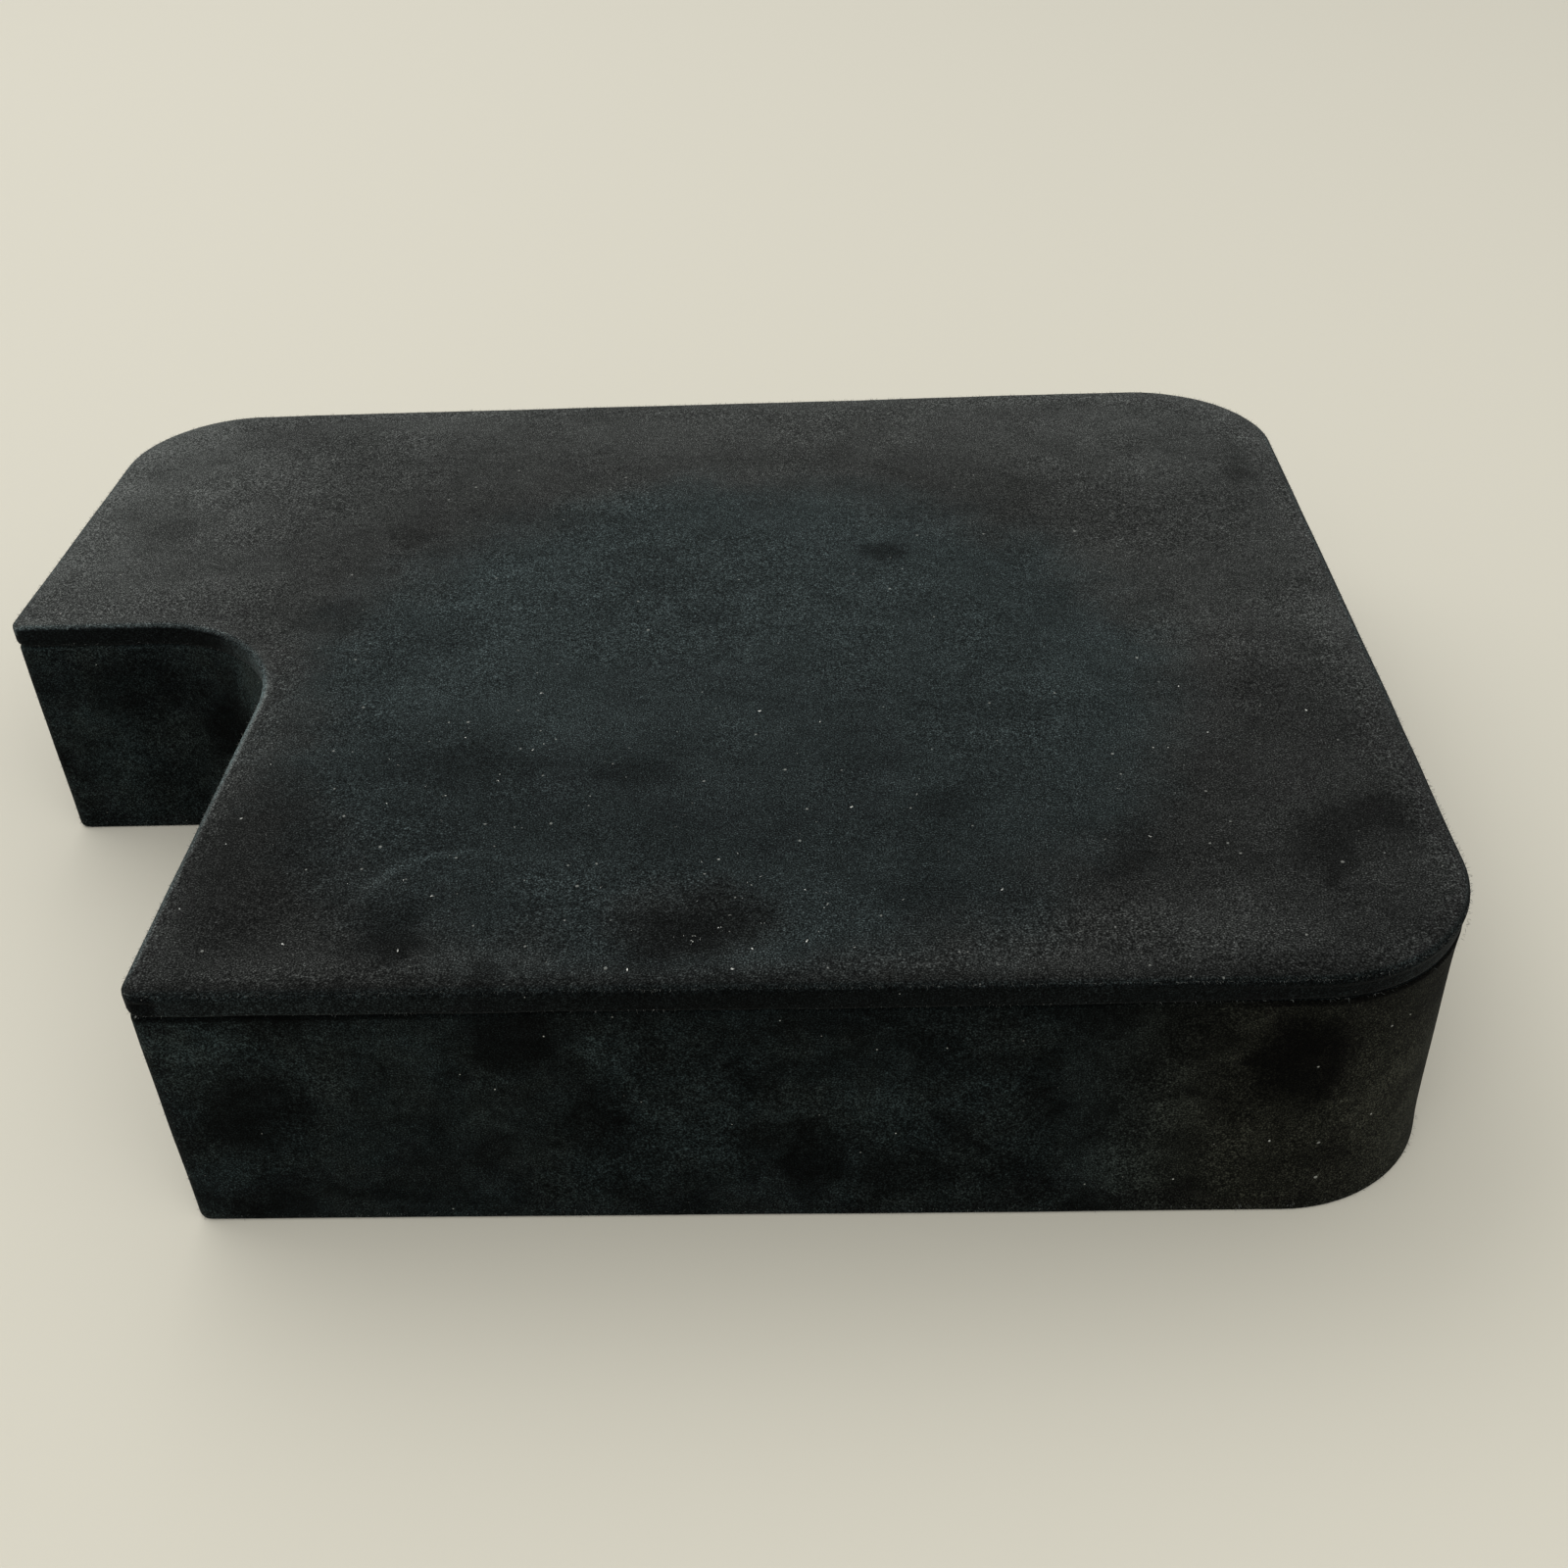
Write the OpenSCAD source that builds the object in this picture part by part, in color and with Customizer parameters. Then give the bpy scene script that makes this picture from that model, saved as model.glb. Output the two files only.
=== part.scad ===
// Foam block covered in suede, with one corner cut out of its plan.
// The origin is on the surface that the block stands on, at the middle of its plan.
// +X runs along the longest side, +Y runs from the notched side to the plain back, +Z is up.

/* [Block] */
// Length along X, over the covered top panel
block_l = 200; // [150:1:260]
// Depth along Y, over the covered top panel
block_d = 158; // [120:1:220]
// Height from the standing surface to the top face
block_h = 38.6; // [25:0.1:80]
// Radius of the plan's plain corner on the notched side
near_corner_r = 21; // [16:0.5:30]
// Radius of the corner diagonally across from the notch
far_corner_r = 22; // [16:0.5:30]
// Radius of the corner at the end of the arm
arm_corner_r = 19.5; // [16:0.5:30]

/* [Notch] */
// Length of the notch along X
notch_l = 44.4; // [30:0.2:80]
// Depth of the notch along Y
notch_d = 82; // [30:0.5:100]
// Radius of the notch's inner corner
notch_corner_r = 22; // [8:0.5:26]

/* [Top panel] */
// Thickness of the board in the top panel
board_t = 2.5; // [1:0.1:5]
// Rounding of the panel's top edge, over the cloth
panel_edge_r = 1.8; // [1.2:0.1:2.4]
// Rounding of the panel's lower edge, over the cloth
panel_low_r = 0.6; // [0.4:0.1:1.2]
// Thickness of the suede on the panel
cover_t = 0.6; // [0.4:0.1:1]
// Width of the suede that is turned under the board
cover_turn_in = 12; // [8:0.5:14]

/* [Side band] */
// How far the side band stands in from the panel's edge
band_inset = 0.3; // [0.1:0.1:1]
// Thickness of the suede on the sides
band_t = 0.7; // [0.5:0.1:1.2]
// Width of the suede that is folded over the foam, above and below
band_turn_in = 11; // [8:0.5:14]

/* [Base sheet] */
// Gap between the base sheet's edge and the fold around it
base_gap = 0.2; // [0:0.1:1]

/* [Hidden] */
$fn = 96;
lap = 1; // overlap of the parts of one outline, inside the outline
panel_t = board_t + 2 * cover_t;
panel_z = block_h - panel_t;
core_inset = band_inset + band_t;
base_t = band_t; // level with the fold around it

// Quarter of a disc, with its square corner at the origin
module quarter_disc(r) {
    intersection() {
        circle(r);
        square(r);
    }
}

// The block's plan, moved in by `inset`. Its two tight corners have the radius `tip`.
module outline(inset, tip) {
    x0 = -block_l / 2 + inset;
    x1 = block_l / 2 - inset;
    y0 = -block_d / 2 + inset;
    y1 = block_d / 2 - inset;
    notch_x = -block_l / 2 + notch_l + inset;
    notch_y = -block_d / 2 + notch_d + inset;
    near_r = near_corner_r - inset;
    far_r = far_corner_r - inset;
    arm_r = arm_corner_r - inset;
    inner_r = notch_corner_r + inset;
    front_tip = tip > 0 ? [[notch_x, y0 + tip], [notch_x + tip, y0]] : [[notch_x, y0]];
    arm_tip = tip > 0 ? [[x0, notch_y + tip], [x0 + tip, notch_y]] : [[x0, notch_y]];

    polygon(concat(
        front_tip,
        [[x1 - near_r, y0], [x1, y0 + near_r]],
        [[x1, y1 - far_r], [x1 - far_r, y1]],
        [[x0 + arm_r, y1], [x0, y1 - arm_r]],
        arm_tip,
        [[notch_x, notch_y]]
    ));
    translate([x1 - near_r, y0 + near_r]) circle(near_r);
    translate([x1 - far_r, y1 - far_r]) circle(far_r);
    translate([x0 + arm_r, y1 - arm_r]) circle(arm_r);
    if (tip > 0) {
        translate([notch_x + tip, y0 + tip]) circle(tip);
        translate([x0 + tip, notch_y + tip]) circle(tip);
    }
    translate([notch_x - inner_r, notch_y - inner_r]) difference() {
        square(inner_r + lap);
        circle(inner_r);
    }
}

// One straight run of rounded edge, from `from` along `angle`. The outside is on its right.
module straight_round(from, angle, length, r) {
    translate(from) rotate(angle) rotate([90, 0, 90]) linear_extrude(length)
        mirror([1, 0]) quarter_disc(r);
}

// A quarter turn of rounded edge about `centre`, from `angle` on. `turn_r` is its outer radius.
module corner_round(centre, angle, turn_r, r) {
    translate(centre) rotate(angle) rotate_extrude(angle = 90)
        translate([turn_r - r, 0]) quarter_disc(r);
}

// The same about the notch's inner corner, where the outside faces the centre
module inner_corner_round(centre, angle, turn_r, r) {
    translate(centre) rotate(angle) rotate_extrude(angle = 90)
        translate([turn_r + r, 0]) mirror([1, 0]) quarter_disc(r);
}

// The rounded edge that runs around the outline at `inset`, rounding upward from z = 0.
// Its tight corners turn on the radius `tip`, which is no less than `r`.
module edge_round(inset, r, tip) {
    x0 = -block_l / 2 + inset;
    x1 = block_l / 2 - inset;
    y0 = -block_d / 2 + inset;
    y1 = block_d / 2 - inset;
    notch_x = -block_l / 2 + notch_l + inset;
    notch_y = -block_d / 2 + notch_d + inset;
    near_r = near_corner_r - inset;
    far_r = far_corner_r - inset;
    arm_r = arm_corner_r - inset;
    inner_r = notch_corner_r + inset;

    straight_round([notch_x + tip, y0 + r], 0, x1 - near_r - notch_x - tip, r);
    corner_round([x1 - near_r, y0 + near_r], -90, near_r, r);
    straight_round([x1 - r, y0 + near_r], 90, y1 - far_r - y0 - near_r, r);
    corner_round([x1 - far_r, y1 - far_r], 0, far_r, r);
    straight_round([x1 - far_r, y1 - r], 180, x1 - far_r - x0 - arm_r, r);
    corner_round([x0 + arm_r, y1 - arm_r], 90, arm_r, r);
    straight_round([x0 + r, y1 - arm_r], 270, y1 - arm_r - notch_y - tip, r);
    corner_round([x0 + tip, notch_y + tip], 180, tip, r);
    straight_round([x0 + tip, notch_y + r], 0, notch_x - inner_r - x0 - tip, r);
    inner_corner_round([notch_x - inner_r, notch_y - inner_r], 0, inner_r, r);
    straight_round([notch_x + r, notch_y - inner_r], 270, notch_y - inner_r - y0 - tip, r);
    corner_round([notch_x + tip, y0 + tip], 180, tip, r);
}

// A solid on the outline at `inset`, with its top edge rounded by `top_r` and its lower edge by
// `low_r`. Its tight corners turn on the larger of the two.
module rounded_slab(height, inset, top_r, low_r) {
    tip = max(top_r, low_r);
    translate([0, 0, low_r]) linear_extrude(height - top_r - low_r) outline(inset, tip);
    if (top_r > 0) {
        translate([0, 0, height - top_r]) linear_extrude(top_r) outline(inset + top_r, tip - top_r);
        translate([0, 0, height - top_r]) edge_round(inset, top_r, tip);
    }
    if (low_r > 0) {
        linear_extrude(low_r) outline(inset + low_r, tip - low_r);
        translate([0, 0, low_r]) mirror([0, 0, 1]) edge_round(inset, low_r, tip);
    }
}

// Foam body. Its raised middle fills the space inside the folds of suede above it.
module foam_core() {
    color("dimgray") {
        translate([0, 0, band_t]) linear_extrude(panel_z - 2 * band_t) outline(core_inset, 0);
        translate([0, 0, panel_z - band_t]) linear_extrude(band_t) outline(band_inset + band_turn_in, 0);
        translate([0, 0, panel_z]) linear_extrude(cover_t) outline(cover_turn_in, 0);
    }
}

// One strip of suede around the sides, folded over the foam above and below
module side_band() {
    color([0.09, 0.1, 0.1]) difference() {
        rounded_slab(panel_z, band_inset, band_t, band_t);
        translate([0, 0, band_t]) linear_extrude(panel_z - 2 * band_t) outline(core_inset, 0);
        translate([0, 0, -lap]) linear_extrude(panel_z + 2 * lap) outline(band_inset + band_turn_in, 0);
    }
}

// Lining sheet let into the underside, level with the fold around it
module base_sheet() {
    color([0.13, 0.13, 0.13]) linear_extrude(base_t) outline(band_inset + band_turn_in + base_gap, 0);
}

// Stiff board in the top panel
module top_board() {
    color("tan") translate([0, 0, panel_z + cover_t])
        rounded_slab(board_t, cover_t, panel_edge_r - cover_t, 0);
}

// Suede over the board, wrapped around its edge and turned under
module top_cover() {
    color([0.17, 0.19, 0.19]) translate([0, 0, panel_z]) difference() {
        rounded_slab(panel_t, 0, panel_edge_r, panel_low_r);
        translate([0, 0, cover_t]) rounded_slab(board_t, cover_t, panel_edge_r - cover_t, 0);
        // what the turned-under edge leaves open, cut up into the board's space
        translate([0, 0, -lap]) linear_extrude(lap + cover_t + board_t / 2) outline(cover_turn_in, 0);
    }
}

foam_core();
side_band();
base_sheet();
top_board();
top_cover();
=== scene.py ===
# %% [markdown]
# # A suede-covered foam block, step by step
#
# The block is a display riser: an L-shaped slab of foam with a strip of black suede around its
# sides, and a thin board on top that has its own suede cover. The construction is already solid
# CAD. Here we load it as a fixed frame and give it its looks.
#
# Every length is in metres, apart from the tables of marks and lint, which are in millimetres. The
# pieces take their places from the CAD, so nothing has to be fitted.

# %% Load the frame
import copy
import math

import bmesh
import bpy
import numpy as np
from mathutils import Matrix, Vector, noise


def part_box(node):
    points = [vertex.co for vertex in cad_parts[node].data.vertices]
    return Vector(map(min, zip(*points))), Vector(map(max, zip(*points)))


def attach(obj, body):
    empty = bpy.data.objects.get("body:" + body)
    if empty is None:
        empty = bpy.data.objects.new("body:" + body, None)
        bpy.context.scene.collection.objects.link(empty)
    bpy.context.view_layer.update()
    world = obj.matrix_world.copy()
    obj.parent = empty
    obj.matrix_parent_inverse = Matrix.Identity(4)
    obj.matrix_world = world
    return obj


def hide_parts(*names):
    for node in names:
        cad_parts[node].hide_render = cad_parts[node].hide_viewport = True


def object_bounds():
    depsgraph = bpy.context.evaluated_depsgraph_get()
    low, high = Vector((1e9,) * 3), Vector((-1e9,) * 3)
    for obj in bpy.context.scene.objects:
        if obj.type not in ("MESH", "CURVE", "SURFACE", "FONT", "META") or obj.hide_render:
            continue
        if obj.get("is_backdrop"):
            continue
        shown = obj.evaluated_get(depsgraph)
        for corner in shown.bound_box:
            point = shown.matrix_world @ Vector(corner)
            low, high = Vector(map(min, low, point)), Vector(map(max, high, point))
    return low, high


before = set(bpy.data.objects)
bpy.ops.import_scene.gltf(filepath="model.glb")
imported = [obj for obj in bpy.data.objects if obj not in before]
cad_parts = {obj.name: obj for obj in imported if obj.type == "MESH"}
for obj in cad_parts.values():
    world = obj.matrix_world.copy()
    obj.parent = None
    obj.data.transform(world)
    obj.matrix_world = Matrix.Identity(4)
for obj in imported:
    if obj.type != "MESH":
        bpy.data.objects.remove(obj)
cad_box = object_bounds()
MM = 0.001
TOUCH = 0.01 * MM  # nearer than this counts as the same place
print("CAD nodes:", ", ".join(sorted(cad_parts)))

# %% [markdown]
# ## Read the plan off the CAD
#
# The suede pieces follow the block's plan: straight sides, three large corners, one large inner
# corner, and two tight corners. We could type those sizes again, but then a change in the CAD would
# leave the cloth behind. It is safer to measure them on the CAD's own vertices.

# %% Measure the plan
class Plan:
    """The L-shaped plan of a CAD node: its straight sides and the radii of its large corners."""

    def __init__(self, node):
        low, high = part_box(node)
        self.x0, self.y0, self.x1, self.y1 = low.x, low.y, high.x, high.y
        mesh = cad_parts[node].data
        points = np.array([v.co for v in mesh.vertices])
        self.notch_x = points[points[:, 1] < low.y + 5 * MM, 0].min()
        self.notch_y = points[points[:, 0] < low.x + 5 * MM, 1].min()

        def wall(axis, place):
            """Where the flat wall across an axis at a place starts and ends along the other."""
            ends = [mesh.vertices[i].co[1 - axis] for face in mesh.polygons
                    if abs(face.normal[axis]) > 0.999 and abs(face.center[axis] - place) < TOUCH
                    for i in face.vertices]
            return min(ends), max(ends)

        self.near_r = wall(0, self.x1)[0] - self.y0
        self.far_r = self.y1 - wall(0, self.x1)[1]
        self.arm_r = self.y1 - wall(0, self.x0)[1]
        self.inner_r = self.notch_y - wall(0, self.notch_x)[1]

    def inset(self, depth):
        """The same plan, moved in by a depth all round."""
        plan = copy.copy(self)
        for name, sign in (("x0", 1), ("y0", 1), ("x1", -1), ("y1", -1), ("notch_x", 1),
                           ("notch_y", 1), ("near_r", -1), ("far_r", -1), ("arm_r", -1),
                           ("inner_r", 1)):
            setattr(plan, name, getattr(self, name) + sign * depth)
        return plan

    def corners(self, tip):
        """Each corner's place and radius. The two tight corners get the radius `tip`."""
        return [
            ((self.x1, self.y0), self.near_r),
            ((self.x1, self.y1), self.far_r),
            ((self.x0, self.y1), self.arm_r),
            ((self.x0, self.notch_y), tip),
            ((self.notch_x, self.notch_y), self.inner_r),
            ((self.notch_x, self.y0), tip),
        ]

    def length(self, tip):
        """The length of the plan's outline."""
        radii = sum(radius for _, radius in self.corners(tip))
        return 2 * (self.x1 - self.x0 + self.y1 - self.y0) - (2 - math.pi / 2) * radii

    def area(self):
        """The area inside the outline, leaving out its two tight corners' rounding."""
        notch = (self.notch_x - self.x0) * (self.notch_y - self.y0)
        corners = self.near_r ** 2 + self.far_r ** 2 + self.arm_r ** 2 - self.inner_r ** 2
        whole = (self.x1 - self.x0) * (self.y1 - self.y0)
        return whole - notch - (1 - math.pi / 4) * corners

    def depth(self, x, y):
        """How far a point lies inside the plan, from its nearest side or corner arc."""
        depth = min(x - self.x0, self.x1 - x, y - self.y0, self.y1 - y)
        for dx, dy, r in ((self.x1 - x, y - self.y0, self.near_r),
                          (self.x1 - x, self.y1 - y, self.far_r),
                          (x - self.x0, self.y1 - y, self.arm_r)):
            if dx < r and dy < r:
                depth = r - math.hypot(r - dx, r - dy)
        dx, dy = x - self.notch_x + self.inner_r, y - self.notch_y + self.inner_r
        notch = math.hypot(dx, dy) if dx > 0 and dy > 0 else max(dx, dy)
        return min(depth, notch - self.inner_r)


panel_plan = Plan("top_cover")
band_plan = Plan("side_band")
sheet_plan = Plan("base_sheet")
panel_low, panel_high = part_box("top_cover")
band_low, band_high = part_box("side_band")
sheet_low, sheet_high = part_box("base_sheet")
print(f"notch corner at {panel_plan.notch_x:.4f}, {panel_plan.notch_y:.4f} m")
print(f"corner radii {panel_plan.near_r:.4f}, {panel_plan.far_r:.4f}, {panel_plan.arm_r:.4f} m")

# %% [markdown]
# ## Tools for modelling by hand
#
# Blender's edit-mode operators act on whatever is selected. So each step below first selects what
# it means to change, by place or by direction, and then calls one operator on it. These helpers
# keep those two halves together.

# %% Edit-mode helpers
KINDS = {"VERT": "verts", "EDGE": "edges", "FACE": "faces"}


def start_plane(name, low, high, z):
    """Adds a plane that spans low to high at height z, as a new piece."""
    bpy.ops.object.select_all(action="DESELECT")
    centre = ((low[0] + high[0]) / 2, (low[1] + high[1]) / 2, z)
    bpy.ops.mesh.primitive_plane_add(size=1, location=centre)
    piece = bpy.context.object
    piece.name = name
    piece.scale = (high[0] - low[0], high[1] - low[1], 1)
    bpy.ops.object.transform_apply(location=True, rotation=True, scale=True)
    return piece


def select_all(pieces):
    """Selects these pieces and no others. The last one is the active one."""
    bpy.ops.object.select_all(action="DESELECT")
    for piece in pieces:
        piece.select_set(True)
        bpy.context.view_layer.objects.active = piece


def edit(piece):
    """Makes the piece the only selected one and opens it in edit mode."""
    select_all([piece])
    bpy.ops.object.mode_set(mode="EDIT")


def close():
    bpy.ops.object.mode_set(mode="OBJECT")


def pick(piece, kind, test):
    """In edit mode, selects the vertices, edges or faces that pass the test, and no others."""
    bpy.ops.mesh.select_mode(type=kind)
    bpy.ops.mesh.select_all(action="DESELECT")
    mesh = bmesh.from_edit_mesh(piece.data)
    chosen = [item for item in getattr(mesh, KINDS[kind]) if test(item)]
    for item in chosen:
        item.select_set(True)
    bmesh.update_edit_mesh(piece.data)


def cut(piece, axis, places):
    """Bisects the whole piece across an axis at each place, to give a surface more vertices."""
    normal = Vector([float(i == axis) for i in range(3)])
    for place in places:
        bpy.ops.mesh.select_all(action="SELECT")
        bpy.ops.mesh.bisect(plane_co=normal * place, plane_no=normal)


def apply_modifier(piece, kind, **settings):
    """Adds a modifier, sets it and applies it."""
    modifier = piece.modifiers.new(kind.title(), kind)
    for key, value in settings.items():
        setattr(modifier, key, value)
    select_all([piece])
    bpy.ops.object.modifier_apply(modifier=modifier.name)


def facets(piece):
    return sum(len(face.vertices) - 2 for face in piece.data.polygons)


# %% [markdown]
# ## The plan as one face
#
# On the real block each piece is cut from flat stock along the same outline. We do the same: take
# a plane, cut it along the notch's two lines, throw the corner away, and round each corner by
# bevelling its one vertex. A vertex bevel with an even profile gives a true arc.

# %% Cut the plan
LARGE = 5 * MM  # a corner with a larger radius than this is a large one
ARC_STEPS, TIP_STEPS = 22, 6  # facets of a large and of a tight corner


def cut_plan(name, plan, z, tip):
    """A single flat face in the shape of the plan, at height z."""
    piece = start_plane(name, (plan.x0, plan.y0), (plan.x1, plan.y1), z)
    edit(piece)
    cut(piece, 0, [plan.notch_x])
    cut(piece, 1, [plan.notch_y])
    pick(piece, "FACE", lambda face: face.calc_center_median().x < plan.notch_x
         and face.calc_center_median().y < plan.notch_y)
    bpy.ops.mesh.delete(type="FACE")
    bpy.ops.mesh.select_all(action="SELECT")
    bpy.ops.mesh.dissolve_limited(angle_limit=math.radians(1))
    for (x, y), radius in plan.corners(tip):
        pick(piece, "VERT", lambda v: math.hypot(v.co.x - x, v.co.y - y) < TOUCH)
        bpy.ops.mesh.bevel(offset=radius, segments=ARC_STEPS if radius > LARGE else TIP_STEPS,
                           affect="VERTICES", clamp_overlap=False)
    close()
    return piece


# %% [markdown]
# ## The shape of glued cloth
#
# Suede that is glued over an edge never lies quite flat. It swells and dips by a few tenths of a
# millimetre, its folds wander a little, and its corners are fuller than its sides. A cloth
# simulation suits a loose cover, but this cloth is stuck down and cannot move, so the unevenness
# is put in directly, as a slow wave through space that moves each vertex along its normal.

# %% Unevenness
def wave(point, size, seed):
    """A smooth random number from about -1 to 1 that changes over `size` metres. Each seed gives
    another wave."""
    return noise.noise(point / size + Vector((seed * 7.3, seed * 3.1, seed * 5.7)))


def displace(piece, move):
    """Moves each vertex by what move(place, normal) returns."""
    mesh = piece.data
    moves = [move(v.co.copy(), v.normal.copy()) for v in mesh.vertices]
    for vertex, change in zip(mesh.vertices, moves):
        vertex.co += change
    mesh.update()


def mark_depth(piece, plan):
    """Stores each vertex's depth inside the plan, for the material to use. It is 0 below."""
    heights = [v.co.z for v in piece.data.vertices]
    middle = (min(heights) + max(heights)) / 2
    depths = [plan.depth(v.co.x, v.co.y) if v.co.z > middle else 0 for v in piece.data.vertices]
    piece.data.attributes.new("depth", "FLOAT", "POINT").data.foreach_set("value", depths)


def steps(low, high, pitch):
    """Evenly spaced places between low and high, about a pitch apart, without the two ends."""
    count = max(1, round((high - low) / pitch))
    return [low + (high - low) * i / count for i in range(1, count)]


# %% [markdown]
# ## The top cover
#
# The cover is one piece of suede, pulled over the board's edge and glued underneath. So it is a
# shell: a top, a narrow side, and a margin below. Extruding and insetting the plan would make the
# rounded corners cross at the margin. So each rim of the shell is cut from the plan by itself, and
# each rim is bridged to the next. Then the rims are bevelled, a grid of cuts gives the surface
# enough vertices to be shaped, and Solidify gives the cloth its thickness inward.

# %% Model the top cover
CLOTH = 0.6 * MM  # thickness of the suede
MARGIN = 12 * MM  # what is turned under at an edge
TOP_ROUND, LOW_ROUND = 1.1 * MM, 0.6 * MM  # radii of the panel's two rims
RIM_STEPS = 5, 3  # facets of an upper and of a lower rim
GRID = 2.5 * MM  # pitch of the cuts
APART = 100 * MM  # between two rims while they are bridged


def bridged(name, rims, caps):
    """Bridges each rim to the next, and leaves the piece in edit mode. A rim is a plan, a height
    and a tip radius. `caps` are the numbers of the rims that keep their face. While they are
    bridged the rims stand far apart, because two rims at one height can be bridged crossed."""
    loops = [cut_plan(f"{name}_{i}", plan, i * APART, tip) for i, (plan, _, tip) in enumerate(rims)]
    select_all(loops)
    bpy.ops.object.join()
    piece = bpy.context.object
    piece.name = name
    edit(piece)
    pick(piece, "FACE", lambda face: round(face.verts[0].co.z / APART) not in caps)
    bpy.ops.mesh.delete(type="ONLY_FACE")
    for i in range(len(rims) - 1):
        pick(piece, "EDGE", lambda edge: abs(edge.verts[0].co.z - edge.verts[1].co.z) < MM
             and round(edge.verts[0].co.z / APART) in (i, i + 1))
        bpy.ops.mesh.bridge_edge_loops()
    for i, (_, height, _) in enumerate(rims):
        pick(piece, "VERT", lambda v: abs(v.co.z - i * APART) < 0.1 * MM)
        bpy.ops.transform.translate(value=(0, 0, height - i * APART))
    bpy.ops.mesh.select_all(action="SELECT")
    bpy.ops.mesh.normals_make_consistent(inside=False)
    return piece


def round_rims(piece, z, radius, segments):
    """In edit mode, bevels the sharp edges that lie at height z."""
    pick(piece, "EDGE", lambda edge: all(abs(v.co.z - z) < TOUCH for v in edge.verts)
         and len(edge.link_faces) == 2
         and edge.link_faces[0].normal.angle(edge.link_faces[1].normal) > 1)
    bpy.ops.mesh.bevel(offset=radius, segments=segments, affect="EDGES", clamp_overlap=False)


def grid(piece, plan, low, high, pitch, creases=()):
    """Cuts the piece all over at a pitch, and once across an axis at each crease."""
    cut(piece, 0, steps(plan.x0, plan.x1, pitch))
    cut(piece, 1, steps(plan.y0, plan.y1, pitch))
    cut(piece, 2, steps(low, high, pitch))
    for axis, place in creases:
        cut(piece, axis, [place])


def wrapped_shell(name, plan, low, high, tip, rounds, open_top, creases=()):
    """A shell of cloth on the plan, with a margin turned under, and over the top if it is open."""
    margin = plan.inset(MARGIN)
    rims = [(margin, low, tip / 4), (plan, low, tip), (plan, high, tip)]
    if open_top:
        rims.append((margin, high, tip / 4))
    piece = bridged(name, rims, caps=() if open_top else (2,))
    round_rims(piece, high, rounds[0], RIM_STEPS[0])
    round_rims(piece, low, rounds[1], RIM_STEPS[1])
    grid(piece, plan, low + rounds[1], high - rounds[0], GRID, creases)
    close()
    return piece


PANEL_TIP, BAND_TIP = 2.6 * MM, 1.8 * MM  # radii of the tight corners
FOLD_X = panel_plan.notch_x  # the cloth is folded beside this end of the front
LIP = 1.2 * MM  # the part of the panel's side, below its top, that stands out as a lip
creases = [(2, panel_high.z - LIP - i * 0.25 * MM) for i in range(4)]
creases += [(0, FOLD_X + i * MM) for i in (0.8, 1.6, 3.2, 4.0, 4.8)]

top_cover = wrapped_shell("suede_top_cover", panel_plan, panel_low.z, panel_high.z, PANEL_TIP,
                          (TOP_ROUND, LOW_ROUND), open_top=False, creases=creases)

# %% [markdown]
# ### How its cloth settles
#
# The shell is still exact, as if it were moulded. On the real block the panel's rim falls a
# little, a lip stands out over the near corner, and the end of the front has a small fold, where
# the cloth of a tight corner has been tucked in. Each of these is a move of the vertices near it.

# %% Settle the top cover
SHOULDER = 5 * MM  # the depth over which the panel falls toward its rim


def smooth(low, high, value):
    """0 below low, 1 above high, and a smooth step between them. Low may be above high."""
    share = min(1, max(0, (value - low) / (high - low)))
    return share * share * (3 - 2 * share)


def near_corner(place):
    """1 round the near corner, where the cloth is pulled tighter, and 0 away from it."""
    return smooth(45 * MM, 85 * MM, place.x) * smooth(-15 * MM, -55 * MM, place.y)


def settle_panel(place, normal):
    """The panel's cloth: soft shoulders, a lip over the near corner, and a folded tight corner."""
    inside = panel_plan.depth(place.x, place.y)
    change = normal * 0.06 * MM * wave(place, 9 * MM, 1)
    if normal.z > 0.5:  # the top
        change.z -= 0.25 * MM * math.exp(-max(inside, 0) / SHOULDER)
        change.z += 0.12 * MM * wave(place, 40 * MM, 2)
    if abs(normal.z) < 0.9 and inside < 1 * MM:  # the side
        side = Vector((normal.x, normal.y, 0)).normalized()
        under = smooth(panel_high.z - LIP, panel_high.z - LIP - 0.6 * MM, place.z)
        change -= side * (0.25 + under * 0.25) * near_corner(place) * MM
        fold = smooth(FOLD_X + 4.6 * MM, FOLD_X + 3.4 * MM, place.x)
        fold *= smooth(FOLD_X + 0.8 * MM, FOLD_X + 2.4 * MM, place.x)
        fold *= smooth(panel_plan.y0 + 1 * MM, panel_plan.y0 + 0.5 * MM, place.y)
        fold *= smooth(panel_low.z + 0.5 * MM, panel_low.z + 1 * MM, place.z)
        change -= side * under * fold * 0.45 * MM
        low_edge = smooth(panel_low.z + MM, panel_low.z, place.z)
        change.z += 0.15 * MM * wave(place, 7 * MM, 6) * low_edge
    return change


mark_depth(top_cover, panel_plan)
displace(top_cover, settle_panel)
apply_modifier(top_cover, "SOLIDIFY", thickness=CLOTH, offset=-1, use_even_offset=False)
print(f"top cover: {facets(top_cover)} triangles")

# %% [markdown]
# ## The side band
#
# One strip of the same suede runs around the sides, and its two edges are folded over the foam.
# The panel above hides the upper fold, apart from its round shoulder, which shows as a fine line
# under the seam.

# %% Model the side band
BAND_ROUND = 0.7 * MM

side_band = wrapped_shell("suede_side_band", band_plan, band_low.z, band_high.z,
                          BAND_TIP, (BAND_ROUND, BAND_ROUND), open_top=True)


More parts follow.
